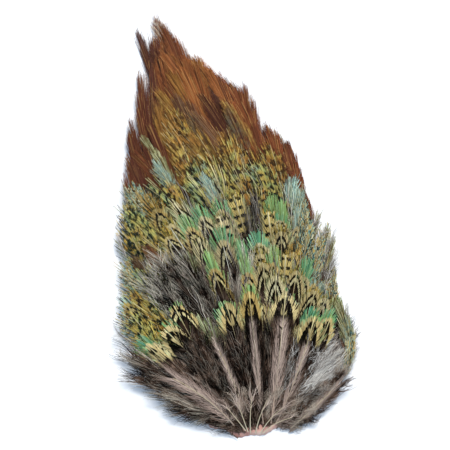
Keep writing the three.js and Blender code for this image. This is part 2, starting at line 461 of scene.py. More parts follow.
def barb_grids(rng, plume, line, pose):
    """Every barb of a feather as a narrow tapering ribbon. Neighbouring ones stick together in clumps."""
    length, count = line.length, 2 * plume.barbs
    side = np.repeat([-1.0, 1.0], plume.barbs)
    order = np.tile(np.arange(plume.barbs), 2) + rng.uniform(0.1, 0.9, count)
    share = (order / plume.barbs) ** plume.crowding
    roots = length * (plume.bare + (plume.stem - plume.bare) * share)
    clumps = 2 * ((roots - roots.min()) / plume.clump).astype(int) + (side > 0)
    end_x, end_y, down = barb_ends(rng, plume, length, roots, side, clumps)
    roots, end_x, end_y, down = (values[:, None] for values in (roots, end_x, end_y, down))

    def chance(low, high):
        return rng.uniform(low, high, (count, 1))

    q = np.linspace(0, 1, plume.segments + 1)[None, :]
    out_x, out_y = BARB_SET_OUT
    x = 2 * q * (1 - q) * out_x * end_x + q**2 * end_x
    y = (1 - q**2) * roots + 2 * q * (1 - q) * out_y * (end_y - roots) + q**2 * end_y
    step_x, step_y = np.gradient(x, axis=1), np.gradient(y, axis=1)
    step = np.hypot(step_x, step_y)
    turns = q * plume.waves * shared(rng, clumps, 0.6, 1.4) + shared(rng, clumps, 0, 1)
    wave = down * plume.curl * q * np.sin(2 * math.pi * turns)
    lift = q * rng.normal(0, 0.1, (count, 1)) + smooth(q, 0.5, 1.0) * chance(-0.25, 0.35)
    lift = lift + down * plume.fluff * chance(-0.3, 1.0) * q**1.3
    half = plume.barb_width / 2 * (1 - (0.4 + 0.25 * down) * q**1.5) * (1 - 0.3 * down)
    edge = np.array([-1.0, 1.0]) * half[..., None]
    tilt = chance(-0.6, 0.6)[..., None]
    sideways = wave[..., None] + edge * np.cos(tilt)
    across = x[..., None] - sideways * (step_y / step)[..., None]
    along = y[..., None] + sideways * (step_x / step)[..., None]
    rise = lift[..., None] + edge * np.sin(tilt)
    fibre = fibre_values(rng, clumps)[:, None, None]
    return laid(plume, line, pose, along, across, rise, q[..., None], fibre)


def quill_grid(plume, line, pose):
    """A feather's quill, a tapering rod."""
    share = np.linspace(0, 1, QUILL_RINGS)[None, :, None]
    turn = np.linspace(0, 2 * math.pi, QUILL_SIDES, endpoint=False)
    radius = plume.quill + (QUILL_TIP_RADIUS - plume.quill) * share**0.6
    across = radius * np.cos(turn)
    along = np.broadcast_to(share * plume.stem * line.length, across.shape)
    rise = QUILL_RISE + SHAFT_RISE * plume.shaft + radius * np.sin(turn)
    return laid(plume, line, pose, along, across, rise, share, 0.5)


def add_feather(mesh, rng, plume, line, depth, roll=0, perk=0):
    """Adds a feather that lies as deep as a row, rolled about its quill and with its tip perked up."""
    pose = depth, roll, perk
    mesh.add_grids(*barb_grids(rng, plume, line, pose), slot=0)
    mesh.add_grids(*quill_grid(plume, line, pose), slot=1, closed=True)


@dataclass
class Spot:
    """An elliptic patch of the fan with a colouring of its own, leaning to the left."""

    x: float
    y: float
    half_width: float
    half_length: float
    lean_deg: float = 0.0

    def holds(self, point):
        """1 inside the patch, and 0 outside it."""
        across, along = turned(point - np.array([self.x, self.y]), -self.lean_deg)
        return 1 - smooth(math.hypot(across / self.half_width, along / self.half_length), 0.8, 1.25)


SILVER_HAIRS = Spot(-41, 65, 7, 9, 30)
GOLD_PATCH = Spot(-42, 47, 12, 9)
PALE_DOWN = Spot(24, 28, 12, 12)
DARK_DOWN = Spot(-12, 30, 18, 22)
CURLY_DOWN = Spot(24, 10, 18, 8, -30)
DARK_TUFTS = [Spot(-33, 60, 9, 9, 20), Spot(-3, 84, 2.5, 6), Spot(-10, 59, 6, 10)]
BROWN_STREAKS = [Spot(-46, 72, 7, 7, 30), Spot(-28, 129, 5, 12, 27)]
SILVER_TIPS = [Spot(-42, 165, 2, 4), Spot(9, 118, 4, 3)]
SPECKLED = [Spot(24, 76, 6, 10), Spot(31, 62, 4, 10), Spot(-55, 62, 3, 8), Spot(-50, 93, 3, 3),
            Spot(-57, 43, 3, 8)]
TEAL_SPOTS = [Spot(13, 97, 6, 9, 10), Spot(6, 107, 5, 5, 10), Spot(-43, 100, 3, 4, 20), Spot(26, 70, 6, 14),
              Spot(-54, 50, 3, 8)]
GREEN_SPOTS = [Spot(*size) for size in (
    (-25, 90, 5, 4), (-18, 88, 4, 4), (6, 90, 6, 4), (10, 82, 4, 4), (17, 54, 6, 5), (31, 49, 6, 6),
    (-36, 43, 4, 3), (-49, 34, 5, 4), (-19, 48, 4, 4), (20, 68, 6, 8), (12, 66, 6, 10), (-30, 84, 4, 4))]

# Where rust-coloured feathers begin: x at heights y, outwards from which tips are rusty.
RUST_ON_LEFT = {90: -58, 94: -53.5, 99: -50, 105: -47, 115: -43, 125: -39, 137: -31}
RUST_ON_RIGHT = {90: 30, 96: 15, 101: 11, 106: 7, 111: 2, 119: -6, 131: -18, 138: -28}
ALL_RUST_ABOVE = 138
# The line across the front of the patch below which no tips are patterned: y at places x.
FRONT_DOWN = {-55: 32, -35: 35, -10: 43, 35: 46}
ZONE_STRAY = 1.5

# Values that many plumes share.
DOWN = dict(down=1, down_until=1.2)
RUST = dict(rust=1, barb_width=0.17, down_until=0.25, fluff=0.4, quill=0.2)


def in_any(spots, point):
    return max(spot.holds(point) for spot in spots)


def is_rusty(rng, tip):
    x, y = tip + rng.normal(0, ZONE_STRAY) * np.array([1, 2])
    outside = x < read(RUST_ON_LEFT, y) or x > read(RUST_ON_RIGHT, y)
    return y >= min(RUST_ON_LEFT) and (y > ALL_RUST_ABOVE or outside)


def downy_plume(rng, tip):
    """Wavy fur, mostly near black in the middle of the front, and greyer at its sides."""
    curly = CURLY_DOWN.holds(tip)
    half_width = rng.uniform(2.4, 3.6)
    hue = rng.choice([0.0, 0.1, 0.2, 0.55] if DARK_DOWN.holds(tip) > 0.5 else [0.0, 0.1, 0.3, 0.6])
    hue = min(1.0, hue * rng.uniform(0.8, 1.0) + 0.6 * curly)
    return Plume(**DOWN, half_width=half_width, barbs=110, segments=7 if curly > 0.5 else 5, crowding=1,
                 down_reach=24, fluff=0.9, curl=0.8 + 0.5 * curly, waves=1.1 + 1.2 * curly, fraying=1.1,
                 clump=1.6, barb_width=0.34, quill=0.15, hue=hue, pale=PALE_DOWN.holds(tip),
                 silver=max(0.1, 0.8 * SILVER_HAIRS.holds(tip)))


def rusty_plume(rng, tip, depth, share):
    """Long and hair-like, darker at both sides, and mottled where it meets the golden feathers."""
    plume = Plume(**RUST, half_width=3.2, barbs=150, stem=0.78, reach=25, down_reach=20, tip_length=25,
                  fraying=0.6, clump=0.5)
    at_sides = 0.5 * (1 - smooth(share, 0.12, 0.35)) + 0.4 * smooth(share, 0.6, 0.9)
    plume.hue = np.clip(0.35 + at_sides + rng.normal(0, 0.08), 0, 0.9)
    if tip[1] < 144 and 0.12 < share < 0.65:
        plume.hue = rng.choice([0.1, 0.4, 0.6, 0.9])
        plume.rust = min(1.0, rng.uniform(0.5, 0.8) + 0.2 * smooth(tip[1], 126, 142) + 0.35 * plume.hue)
        plume.mottle = 1.0
    if depth > 6.5 and share < 0.1:
        plume.half_width = 1.5
    plume.silver = 0.6 * in_any(SILVER_TIPS, tip) * (rng.uniform() < 0.6)
    return plume


def patterned_plume(rng, tip, golden):
    """Barred and green in the middle of the patch, and mottled gold above it."""
    half_width = rng.uniform(4.4, 5.6)
    green = in_any(GREEN_SPOTS, tip)
    upper = smooth(tip[1], 98, 122)
    in_patch = GOLD_PATCH.holds(tip)
    hue = rng.uniform() * (1 - 0.6 * upper) - 0.35 * upper
    if green < 0.5 and rng.uniform() < 0.45 - 0.35 * golden:
        green = 0.75
        hue = rng.choice([0.0, 0.15, 0.3, 1.0])
    plume = Plume(
        half_width=half_width, green=green, hue=hue, mottle=float(rng.uniform() < 0.97 * golden),
        streaky=0.9 * (rng.uniform() < 0.75 * (1 - golden)),
        speckle=float(rng.uniform() < in_any(SPECKLED, tip)), pale=0.8 * in_any(TEAL_SPOTS, tip),
        fraying=0.5 + 0.4 * golden, clump=0.6 - 0.2 * golden, fringe=rng.choice([0.5, 1.5, 2.5, 4.0]),
        bands=rng.uniform(1.0, 1.7), arch_half_width=rng.uniform(3.2, 5.0), arch_length=rng.uniform(8, 16),
        reach=8.0 + 9 * upper - 2 * in_patch, barb_width=0.28 - 0.07 * upper)
    if in_patch > 0.5:
        plume.hue = rng.uniform(0.1, 0.5)
    plume.rust = 0.5 * upper * rng.uniform()
    return plume


def plume_at(rng, depth, share, line):
    """The feather that grows at a place: depth in rows from the front, and share of the way to the right."""
    tip = line.tip
    if tip[1] < read(FRONT_DOWN, tip[0]) or rng.uniform() < in_any(DARK_TUFTS, tip):
        plume = downy_plume(rng, tip)
    elif rng.uniform() < 0.85 * in_any(BROWN_STREAKS, tip):
        plume = replace(rusty_plume(rng, tip, depth, share), hue=rng.uniform(0.6, 1.0), rust=0.9, mottle=0,
                        streaky=1)
    elif is_rusty(rng, tip):
        plume = rusty_plume(rng, tip, depth, share)
    else:
        golden = max(smooth(depth, 2.4, 4.0), GOLD_PATCH.holds(tip), smooth(-tip[0], 30, 36))
        plume = patterned_plume(rng, tip, golden)
        if depth > 1.6 and 0.15 < share < 0.85:
            plume = replace(plume, bare=0.42, barbs=78)
    if share > 0.9:
        plume.right = 0.45
    return fitted(plume, line)


def fitted(plume, line):
    """Keeps a plume's lengths in proportion to the feather's."""
    return replace(plume, reach=min(plume.reach, 0.36 * line.length),
                   down_reach=min(plume.down_reach, 0.36 * line.length),
                   tip_length=min(plume.tip_length, 0.45 * line.length))


# The looks of the feathers that stand out in the photo. Those at the front have tan vanes or barred rims.
RIM = dict(fringe=0.5, bands=2, marks=1, quill=0.3, half_width=5.2, tip_length=8, arch_half_width=4.9,
           arch_length=9.5, barb_width=0.42, down_reach=20, down_until=0.75, fluff=0.6, curl=0.5, clump=0.8,
           bare=0.12, hue=0.3, green=1)
TAN = dict(RIM, tan=2.5, quill=0.36, shaft=0.1, bare=0.06, barb_width=0.36, fraying=0.7)
VANE = dict(TAN, **DOWN, down_reach=12, half_width=3.4, bare=0.04, curl=0.4)
CAP = dict(fringe=4.4, bands=1.35, green=1, hue=0.6, half_width=4.2, tip_length=6, barbs=170,
           barb_width=0.24, clump=0.3, fraying=0.4, arch_half_width=4, arch_length=10, quill=0.3)
SPOTTED = dict(CAP, fringe=1.2, bands=1.3, ladder=1, hue=0.35, green=0)
DOME = dict(CAP, fringe=2.6, hue=0.4, green=0)
LIME = dict(CAP, fringe=7, hue=0.15, half_width=3.2)
LEAF = dict(DOME, fringe=0.5, arch_half_width=2.6, arch_length=12, half_width=3.4, hue=0.8)
SPECK = dict(speckle=1, half_width=3, reach=9)
HAIR = dict(DOWN, down_reach=30, half_width=2.8, curl=0.7, waves=0.8, fluff=0.3, clump=2.2, fraying=1.1,
            quill=0.1, hue=0.02, silver=0.35)
BROWN = dict(HAIR, hue=0.25, silver=0.2, barbs=70)
SILVERY = dict(HAIR, silver=1, curl=1.7, barbs=60, hue=0)
CURL = dict(HAIR, hue=0.85, curl=1.5, waves=2.2, half_width=2.2, down_reach=10, fluff=1.2)
BARE_QUILL = dict(HAIR, barbs=14, bare=0.45, quill=0.3, shaft=0.35, tan=2, hue=0.9)
RUSTY = dict(RUST, hue=0.8, half_width=1.8, stem=0.8, reach=22, tip_length=20)
WISP = dict(HAIR, barbs=30, half_width=1, down_reach=12, barb_width=0.2, pale=1)
BUFF = dict(streaky=1, rust=0.25, hue=0.1, down_until=0.2, half_width=1.7, tip_length=10, barb_width=0.2,
            clump=0.3)
PALE = dict(pale=0.5, fringe=9, half_width=1.7, arch_half_width=3.4, tip_length=6, barb_width=0.2,
            clump=0.3, fraying=0.7)
NOTED_BARBS = 120
MARK_PLACES = np.linspace(0.2, 1.0, 5)  # along the length of a noted feather that stays clear
ROOM_ABOUT_MARKS = 4.5
LONG_VANE = 20.0  # of the clear lengths that the loose tufts leave free too
# Where the rows would put the tips of feathers from many places, to find the place for a tip.
TRIAL_PLACES = [(depth, share) for depth in np.arange(0, 8.01, 0.1) for share in np.linspace(0, 1, 41)]
TRIAL_TIPS = np.array([row_tip(*place) for place in TRIAL_PLACES])


def noted(x, y, look, sweep_deg=None, depth=None, root=None, clear=12, **changes):
    """A feather that stands out in the photo, with its tip at a point and no other one over its clear length.

    Its depth, its root and its sweep are those of the rows there, unless they are given.
    """
    tip = np.array([x, y], dtype=float)
    row_depth, share = TRIAL_PLACES[int(np.argmin(np.linalg.norm(TRIAL_TIPS - tip, axis=1)))]
    depth = row_depth if depth is None else depth
    root = follicle(max(0.0, depth), share) if root is None else np.array(root, dtype=float)
    line = CentreLine(root, tip, 0.7 * flow_deg(tip) if sweep_deg is None else sweep_deg)
    marks = line.place(line.length - clear * MARK_PLACES, np.zeros(MARK_PLACES.size))
    plume = fitted(Plume(**{"barbs": NOTED_BARBS, **look, **changes}), line)
    return SimpleNamespace(depth=depth, share=share, line=line, plume=plume, clear=clear, marks=marks)


RIM_DEPTH = -0.3
TUFT_DEPTH = 1.4
NOTED = [
    noted(11, 55.5, TAN, 4, -0.7, clear=44, hue=0.5),
    noted(-4, 58, TAN, 0, -0.5, clear=42, tan=1, hue=0.02, fringe=3, half_width=4, arch_half_width=3.8),
    noted(-18, 36, VANE, 6, -0.6, (-5, 4), 30, tan=1.5, hue=0.1),
    noted(35, 21, VANE, 14, -0.6, (13, 0), 26, tan=1.4, hue=0.4),
    noted(-13, 51, RIM, 0, RIM_DEPTH, arch_half_width=4, arch_length=13),
    noted(22.6, 45.4, TAN, 12, -0.6, clear=38, tan=1.4, bands=1.6, arch_half_width=4, half_width=4.4),
    noted(29, 45, RIM, 12, RIM_DEPTH, bands=1.3, arch_half_width=2.8, half_width=3.2),
    noted(22.6, 48.5, CAP, 0, 0.2, hue=0.8, half_width=3.4),
    noted(30, 48, CAP, 0, 0.2, hue=0.7, half_width=3),
    noted(-33.6, 49.5, RIM, -10, RIM_DEPTH, bands=1.2, arch_length=8, marks=0),
    noted(-38, 40.5, RIM, 4, RIM_DEPTH, arch_length=7, hue=0.5),
    noted(-36, 43.5, CAP, 4, 0.0, hue=0.75),
    noted(-45, 34, RIM, -6, RIM_DEPTH, bands=1.6, hue=0.5, arch_half_width=2.4, half_width=2.6),
    noted(-48, 36, CAP, 4, 0.0, hue=0.85, half_width=3),
    noted(-39, 23, VANE, 6, -1.1, (-9, 0.5), 34, tan=3.6, half_width=4.4, hue=0.5),
    noted(-28, 22, VANE, 4, -0.6, (-8, 4), tan=0.7, hue=0.1),
    noted(31.5, 51, BUFF, 14, RIM_DEPTH, (34, 24), 18, half_width=2.2, hue=0.4, rust=0.2),
    noted(35, 44, PALE, 12, RIM_DEPTH, (34, 20), 14, half_width=1.8, pale=0.3),
    noted(37, 38, SPECK, 6, RIM_DEPTH, (33, 18), 8, half_width=1.8),
    noted(-52, 30, HAIR, 0, RIM_DEPTH, hue=0.55),
    noted(33, 30, HAIR, 10, RIM_DEPTH, pale=1, curl=1.2),
    *(noted(x, y, HAIR, 0, RIM_DEPTH, root, hue=hue) for x, y, root, hue in (
        (-42, 15, (-8, 2), 0.5), (-37, 11, (-7, 1), 0.3), (-33, 8, (-6, 1), 0.6), (-27, 5, (-4, 1), 0.4))),
    noted(31, 17, RIM, 6, RIM_DEPTH, down=1, hue=0.6),
    *(noted(x, y, look, sweep_deg, TUFT_DEPTH, root) for x, y, look, sweep_deg, root in (
        (-47, 61, SILVERY, -22, (-22, 38)), (-43, 57, SILVERY, -30, (-18, 35)),
        (-44, 66, SILVERY, -12, (-21, 42)), (-45, 63, SILVERY, -12, (-20, 38)),
        (-40, 60, HAIR, -20, (-18, 36)), (-41, 69, SILVERY, -8, (-20, 43)),
        (-38, 68, HAIR, -8, (-18, 41)), (-35, 64, BROWN, -14, (-14, 38)),
        (-31, 69, HAIR, 0, (-17, 45)), (-29, 64, BROWN, -4, (-14, 40)),
        (-25, 61, HAIR, -6, (-12, 34)), (-22, 57, BROWN, 0, (-12, 34)))),
    noted(-9, 64, HAIR, 0, TUFT_DEPTH, (-7, 40), half_width=2, hue=0.3),
    noted(-4, 69, SILVERY, 10, TUFT_DEPTH, (-7, 46), half_width=2, curl=0.8),
    noted(-2, 94, HAIR, 0, half_width=1.4, hue=0.1, barbs=70, silver=0.15),
    noted(-4, 87, HAIR, 0, half_width=1.4, hue=0.05, barbs=70, silver=0.15),
    noted(-16, 80.5, CAP, 4, clear=22, fringe=5, bands=1.9, arch_half_width=4.4, arch_length=14,
          half_width=5.4, tip_length=9, shaft=1),
    noted(-1, 79, CAP, hue=0.95, fringe=4.6, bands=0.9),
    noted(-25, 89, CAP, hue=0.7, half_width=3.4),
    noted(-31, 85, LIME, clear=4, fringe=5),
    *(noted(x, y, LIME, clear=4, hue=hue, half_width=half_width) for x, y, hue, half_width in (
        (-8, 76, 0.6, 2.2), (-6, 70, 0.1, 2.2), (20, 68, 0.6, 2.6), (-21, 71, 0.1, 2.2))),
    noted(-17, 91, CAP, hue=0.4, fringe=3.6),
    noted(8.6, 86, CAP, fringe=2.6, bands=0.6),
    noted(5, 93.5, LIME, clear=6),
    noted(9, 91, LIME, clear=4, hue=0.05, half_width=2.4),
    noted(-10.6, 94.4, SPOTTED),
    noted(3.6, 87.5, SPOTTED, bands=1.5),
    noted(-16, 85.5, SPOTTED, fringe=0.6, hue=0.9),
    noted(9, 81.5, DOME),
    noted(0, 73.3, DOME, hue=0.5, fringe=3.4),
    noted(5, 70.5, LIME, fringe=4),
    noted(2, 67.2, DOME, fringe=1, bands=1.6),
    noted(7, 62.7, DOME, fringe=1.6, bands=1.6, hue=0.9),
    noted(14.6, 74, DOME, hue=0.1, fringe=3.6),
    noted(11, 70, SPOTTED, fringe=0.6),
    noted(15.6, 64, DOME, fringe=1, bands=1.2),
    noted(23, 56, DOME, fringe=0.8),
    noted(27.5, 53, DOME, fringe=1, hue=0.8),
    noted(-23.6, 77, LEAF, -4),
    noted(-38.4, 79, DOME, -6, root=(-20, 55), hue=0.25, fringe=3.2, bands=0.95, shaft=1, quill=0.4),
    noted(-36.8, 83, DOME, 0, root=(-24, 62), hue=0.5, fringe=2, shaft=1, quill=0.36),
    noted(-45, 93, DOME, hue=0, fringe=6),
    noted(-46, 116, BUFF, 0, root=(-31, 90), clear=8),
    noted(-41, 106, PALE, 10, root=(-28, 80), clear=5),
    noted(-42, 111, BUFF, 0, root=(-29, 88), clear=8),
    noted(-22, 101, PALE, 10, root=(-12, 74), clear=4),
    *(noted(x, y, PALE, 0, clear=6) for x, y in ((12, 99), (15, 95), (17, 90))),
    noted(14.5, 100, PALE, 6, root=(8, 74), clear=4, pale=0.8),
    noted(17, 95, PALE, 6, root=(11, 70), clear=4, half_width=2.4),
    noted(18.5, 90, SPECK, 6, root=(13, 66), clear=4, pale=0.4),
    noted(19.5, 86, SPECK, 6, root=(14, 62), clear=4),
    noted(21, 82, SPECK),
    noted(26, 76, SPECK),
    *(noted(x, y, BUFF, 0, None, root, 3, barbs=50) for x, y, root in (
        (24, 86, (19, 66)), (28, 81, (23, 60)), (30, 76, (25, 56)))),
    *(noted(x, y, WISP, 0, None, root, 3) for x, y, root in (
        (23, 84, (19, 72)), (27, 80, (22, 67)), (31, 69, (26, 56)), (29, 75, (24, 62)), (-56, 77, (-50, 62)),
        (-57, 39, (-48, 32)), (-55.5, 31, (-47, 22)))),
    *(noted(x, y, CURL, sweep_deg, RIM_DEPTH, root, 4) for x, y, sweep_deg, root in (
        (-8, 16, 0, (-4, 2)), (-13, 12, 10, (-6, 2)), (6, 14, 0, (4, 0)), (15, 12, -8, (9, -1)),
        (22, 11, 10, (13, -1)), (27, 17, 10, (18, 3)), (33, 23, 10, (23, 8)), (21, 5, 0, (12, -2)),
        (-25, 18, 10, (-18, 8)))),
    noted(-6, 137.5, RUSTY, 0, clear=1, hue=0.7),
    noted(-3, 132, RUSTY, 0, clear=1, hue=0.6),
    *(noted(x, y, RUSTY, sweep_deg, clear=1) for x, y, sweep_deg in (
        (-51, 122.5, 0), (-51.5, 117, 0), (-48, 127, 0), (-48, 134, 0), (-44, 122, 8), (-46, 113, 6))),
    *(noted(x, y, BARE_QUILL, 0, -1.2, root, 1) for x, y, root in (
        (-14, 10, (-5, -1)), (-9, 13, (-4, -1.5)), (-2, 16, (-3, -2)), (5, 14, (-1, -2)), (12, 10, (1, -2)),
        (16, 5, (2, -2)))),
]


def hides_noted(depth, line, least_clear=0):
    """True for a feather that would lie over a noted feather's marks."""
    path = line.place(np.linspace(0.5, 1.0, 12) * line.length, np.zeros(12))
    for other in NOTED:
        over = depth < other.depth + 0.3 and other.clear >= least_clear
        if over and np.linalg.norm(path[:, None] - other.marks, axis=-1).min() < ROOM_ABOUT_MARKS:
            return True
    return False


def srgb(red, green, blue):
    """A colour given as 0 to 255 values of the screen, for a node socket."""
    def linear(value):
        value /= 255
        return value / 12.92 if value <= 0.04045 else ((value + 0.055) / 1.055) ** 2.4
    return (linear(red), linear(green), linear(blue), 1.0)


@dataclass
class Value:
    """What a node gives. Sums and products of such values are math nodes."""

    tree: object
    socket: object

    def __add__(self, other):
        return self.tree.math("ADD", self, other)

    def __sub__(self, other):
        return self.tree.math("SUBTRACT", self, other)

    def __mul__(self, other):
        return self.tree.math("MULTIPLY", self, other)

    def __truediv__(self, other):
        return self.tree.math("DIVIDE", self, other)


class Tree:
    """Short ways to write the nodes of a material."""

    def __init__(self, nodes_of):
        self.nodes, self.links = nodes_of.nodes, nodes_of.links

    def fill(self, sockets, values):
        """Puts values of nodes, numbers, vectors as lists or 0 to 255 colours as tuples into sockets."""
        for name, value in values.items():
            if isinstance(value, Value):
                self.links.new(value.socket, sockets[name])
            else:
                sockets[name].default_value = srgb(*value) if isinstance(value, tuple) else value

    def new(self, kind, inputs, output=0, **settings):
        node = self.nodes.new("ShaderNode" + kind)
        for name, value in settings.items():
            setattr(node, name, value)
        self.fill(node.inputs, inputs)
        return Value(self, node.outputs[output])

    def math(self, operation, *values, clamp=False):
        return self.new("Math", dict(enumerate(values)), operation=operation, use_clamp=clamp)

    def step(self, value, low, high):
        """Rises smoothly from 0 to 1 between two bounds."""
        bounds = {"Value": value, "From Min": low, "From Max": high}
        return self.new("MapRange", bounds, interpolation_type="SMOOTHSTEP")

    def turn(self, value, low, high, first, second):
        """Turns one colour into another where a value rises from low to high."""
        return self.mix(self.step(value, low, high), first, second)

    def window(self, value, low, high, soft):
        """1 between two bounds, and 0 outside them."""
        return self.step(value, low - soft, low) * self.step(value, high + soft, high)

    def attribute(self, name):
        return self.new("Attribute", {}, "Fac", attribute_name=name)

    def ramp(self, factor, stops, interpolation="LINEAR"):
        colour = self.new("ValToRGB", {0: factor})
        ramp = colour.socket.node.color_ramp
        ramp.interpolation = interpolation
        while len(ramp.elements) < len(stops):
            ramp.elements.new(1.0)
        for element, position in zip(ramp.elements, stops):
            element.position = position
            element.color = srgb(*stops[position])
        return colour

    def mix(self, factor, first, second, blend="MIX"):
        inputs = {"Factor": factor, 6: first, 7: second}
        return self.new("Mix", inputs, 2, data_type="RGBA", blend_type=blend)

    def noise(self, scale, detail=2, place=None):
        place = place or self.new("TexCoord", {}, "Object")
        return self.new("TexNoise", {"Scale": scale, "Detail": detail, "Vector": place}, "Fac")


BLACK = (18, 16, 12)
DARK_GREEN = (36, 38, 22)
SILVER = (216, 208, 186)
# Sizes of the patches of colour, as patches in a metre.
SPECKLES = 800.0
SPECKS = 400.0
BLOTCHES = 720.0
TINTS = 240.0
DOWN_PATCHES = 260.0
LEAN_DEG = 28.0  # of the golden feathers, to the left
SPOT_PERIOD = 3.2


def green_fringe(tree, tint, fibre):
    """The loose outer barbs of a green feather, from olive to teal."""
    colour = tree.ramp(tint, {
        0: (146, 150, 72), 0.3: (130, 160, 96), 0.6: (98, 150, 102), 0.85: (92, 158, 126),
        1: (150, 180, 150)})
    colour = tree.turn(fibre, 0.86, 0.96, colour, (40, 58, 38))
    return tree.turn(fibre, 0.24, 0.04, colour, (160, 192, 136))


def golden_fringe(tree, tint, fibre):
    colour = tree.ramp(tint, {
        0: (156, 100, 44), 0.25: (184, 146, 62), 0.5: (160, 142, 66), 0.75: (126, 124, 68),
        1: (170, 160, 118)})
    colour = tree.turn(fibre, 0.62, 0.74, colour, (52, 46, 28))
    colour = tree.turn(fibre, 0.14, 0.06, colour, (210, 198, 150))
    return tree.mix(tree.step(tree.noise(SPECKLES, 1), 0.5, 0.6) * 0.7, colour, (48, 52, 28))


def side_barbs(tree, chance):
    """The pale streaky barbs at the sides of a barred feather."""
    return tree.ramp(chance, {0: (42, 38, 26), 0.3: (100, 98, 64), 0.65: (140, 152, 106), 1: (198, 200, 156)})


def speckled_barbs(tree, chance):
    place = tree.math("FRACT", chance + tree.noise(SPECKS, 1) * 1.6)
    return tree.ramp(place, {
        0: (40, 46, 36), 0.25: (88, 118, 116), 0.36: (142, 164, 138), 0.54: (176, 148, 82),
        0.74: (150, 128, 86), 0.86: (204, 200, 164)}, "CONSTANT")


def mottled_barbs(tree, fibre, hue):
    """Gold with dark blotches across neighbouring barbs, and some pale and some dark barbs."""
    patch = (tree.noise(TINTS, 1) - 0.5) * 1.6
    gold = tree.ramp(hue * 0.7 + (patch + 0.15), {
        0: (166, 118, 56), 0.2: (182, 148, 70), 0.5: (184, 170, 92), 0.75: (156, 168, 106),
        1: (156, 172, 142)})
    chance = tree.math("FRACT", fibre * 23.7)
    dark = tree.turn(hue, 0.1, 0.3, (48, 34, 20), (28, 38, 28))
    # The blotches are stretched along the lie of the feathers.
    lean = {"Vector": tree.new("TexCoord", {}, "Object"), "Rotation": [0, 0, math.radians(LEAN_DEG)],
            "Scale": [1, 1.8, 1]}
    blotch = tree.noise(BLOTCHES, 1, tree.new("Mapping", lean, vector_type="TEXTURE")) + chance * 0.14
    colour = tree.turn(blotch, 0.54, 0.65, gold, dark)
    colour = tree.turn(chance, 0.16, 0.1, colour, dark)
    return tree.turn(chance, 0.9, 0.95, colour, (196, 184, 134))


def chevron_bands(tree, at, inside, down_quill):
    """Nested arches of gold, black and buff inside the fringe."""
    band = inside / 6
    gold = tree.mix(at.hue, (184, 156, 92), (208, 196, 150))
    light = tree.mix(at.hue, (204, 186, 124), (214, 206, 166))
    dark = tree.turn(band, 0.6, 1, BLACK, (58, 44, 34))
    bands = tree.turn(band, 0.17, 0.2, gold, dark)
    buff = tree.math("SUBTRACT", tree.window(band, 0.36, 0.52, 0.03), at.marks, clamp=True)
    bands = tree.mix(buff, bands, light)
    bands = tree.turn(at.fibre, 0.1, 0.06, bands, BLACK)
    marks = tree.window(down_quill, 5.5, 8.5, 1) * tree.step(at.across, 1.4, 1)
    bands = tree.mix(marks * tree.step(at.fibre, 0.4, 0.5) * at.marks, bands, gold)
    return tree.turn(at.across, 0.26, 0.14, bands, light)


def ladder_bands(tree, at, down_quill):
    """Pairs of dark spots along the quill of a golden feather."""
    place = tree.new("CombineXYZ", {0: at.across, 1: down_quill, 2: at.hue * 40})
    unevenness = (tree.noise(0.7, place=place) - 0.5) * 2.2
    wrapped = tree.math("MODULO", down_quill + 10 * SPOT_PERIOD, SPOT_PERIOD)
    along = (wrapped - SPOT_PERIOD / 2) * 1.3
    sideways = (at.across - 1.4) * 0.8
    distance = tree.math("SQRT", along * along + sideways * sideways) + unevenness
    ground = tree.ramp(at.hue, {0: (180, 140, 80), 0.4: (200, 178, 108), 1: (204, 186, 140)})
    ground = tree.turn(at.across, 2.3, 3.2, ground, (128, 122, 88))
    spotted = tree.turn(distance, 1.05, 0.85, ground, BLACK)
    return tree.turn(at.across, 0.3, 0.15, spotted, (216, 204, 160))


def rusty_colour(tree, at):
    colour = tree.ramp(at.hue, {
        0: (152, 108, 50), 0.35: (146, 86, 44), 0.6: (118, 64, 38), 0.85: (92, 50, 36), 1: (52, 34, 24)})
    streaked = tree.turn(at.fibre, 0.8, 1, colour, (170, 124, 72))
    return tree.turn(at.fibre, 0.25, 0, streaked, (70, 40, 26))


def downy_colour(tree, at):
    """Down, from near black to pinkish tan by its hue, with paler hairs and, on some feathers, a tan vane."""
    patch = (tree.noise(DOWN_PATCHES) - 0.5) * 1.5
    colour = tree.ramp(at.hue + (at.fibre - 0.5) * 0.5 + patch, {
        0: (16, 12, 9), 0.3: (48, 35, 27), 0.7: (102, 80, 66), 1: (166, 142, 124)})
    colour = tree.turn(at.fibre, 0.4, 0, colour, (12, 9, 8))
    hairs = tree.step(at.fibre, 0.8, 0.88) * (at.silver + 0.12)
    colour = tree.mix(hairs, colour, (206, 192, 174))
    colour = tree.mix(at.pale, colour, tree.mix(at.fibre, (132, 122, 113), (250, 244, 234)))
    inner = at.tan + at.fibre - at.across - (tree.step(at.below, 26, 4) + 0.5)
    tan = tree.ramp(at.across / 3.5, {
        0: (226, 204, 186), 0.15: (200, 176, 160), 0.5: (172, 150, 136), 1: (136, 114, 102)})
    tan = tree.turn(at.fibre, 0.35, 0, tan, (58, 44, 37))
    return tree.mix(tree.step(at.tan, 0.1, 0.5) * tree.step(inner, -1.2, 0.6), colour, tan)


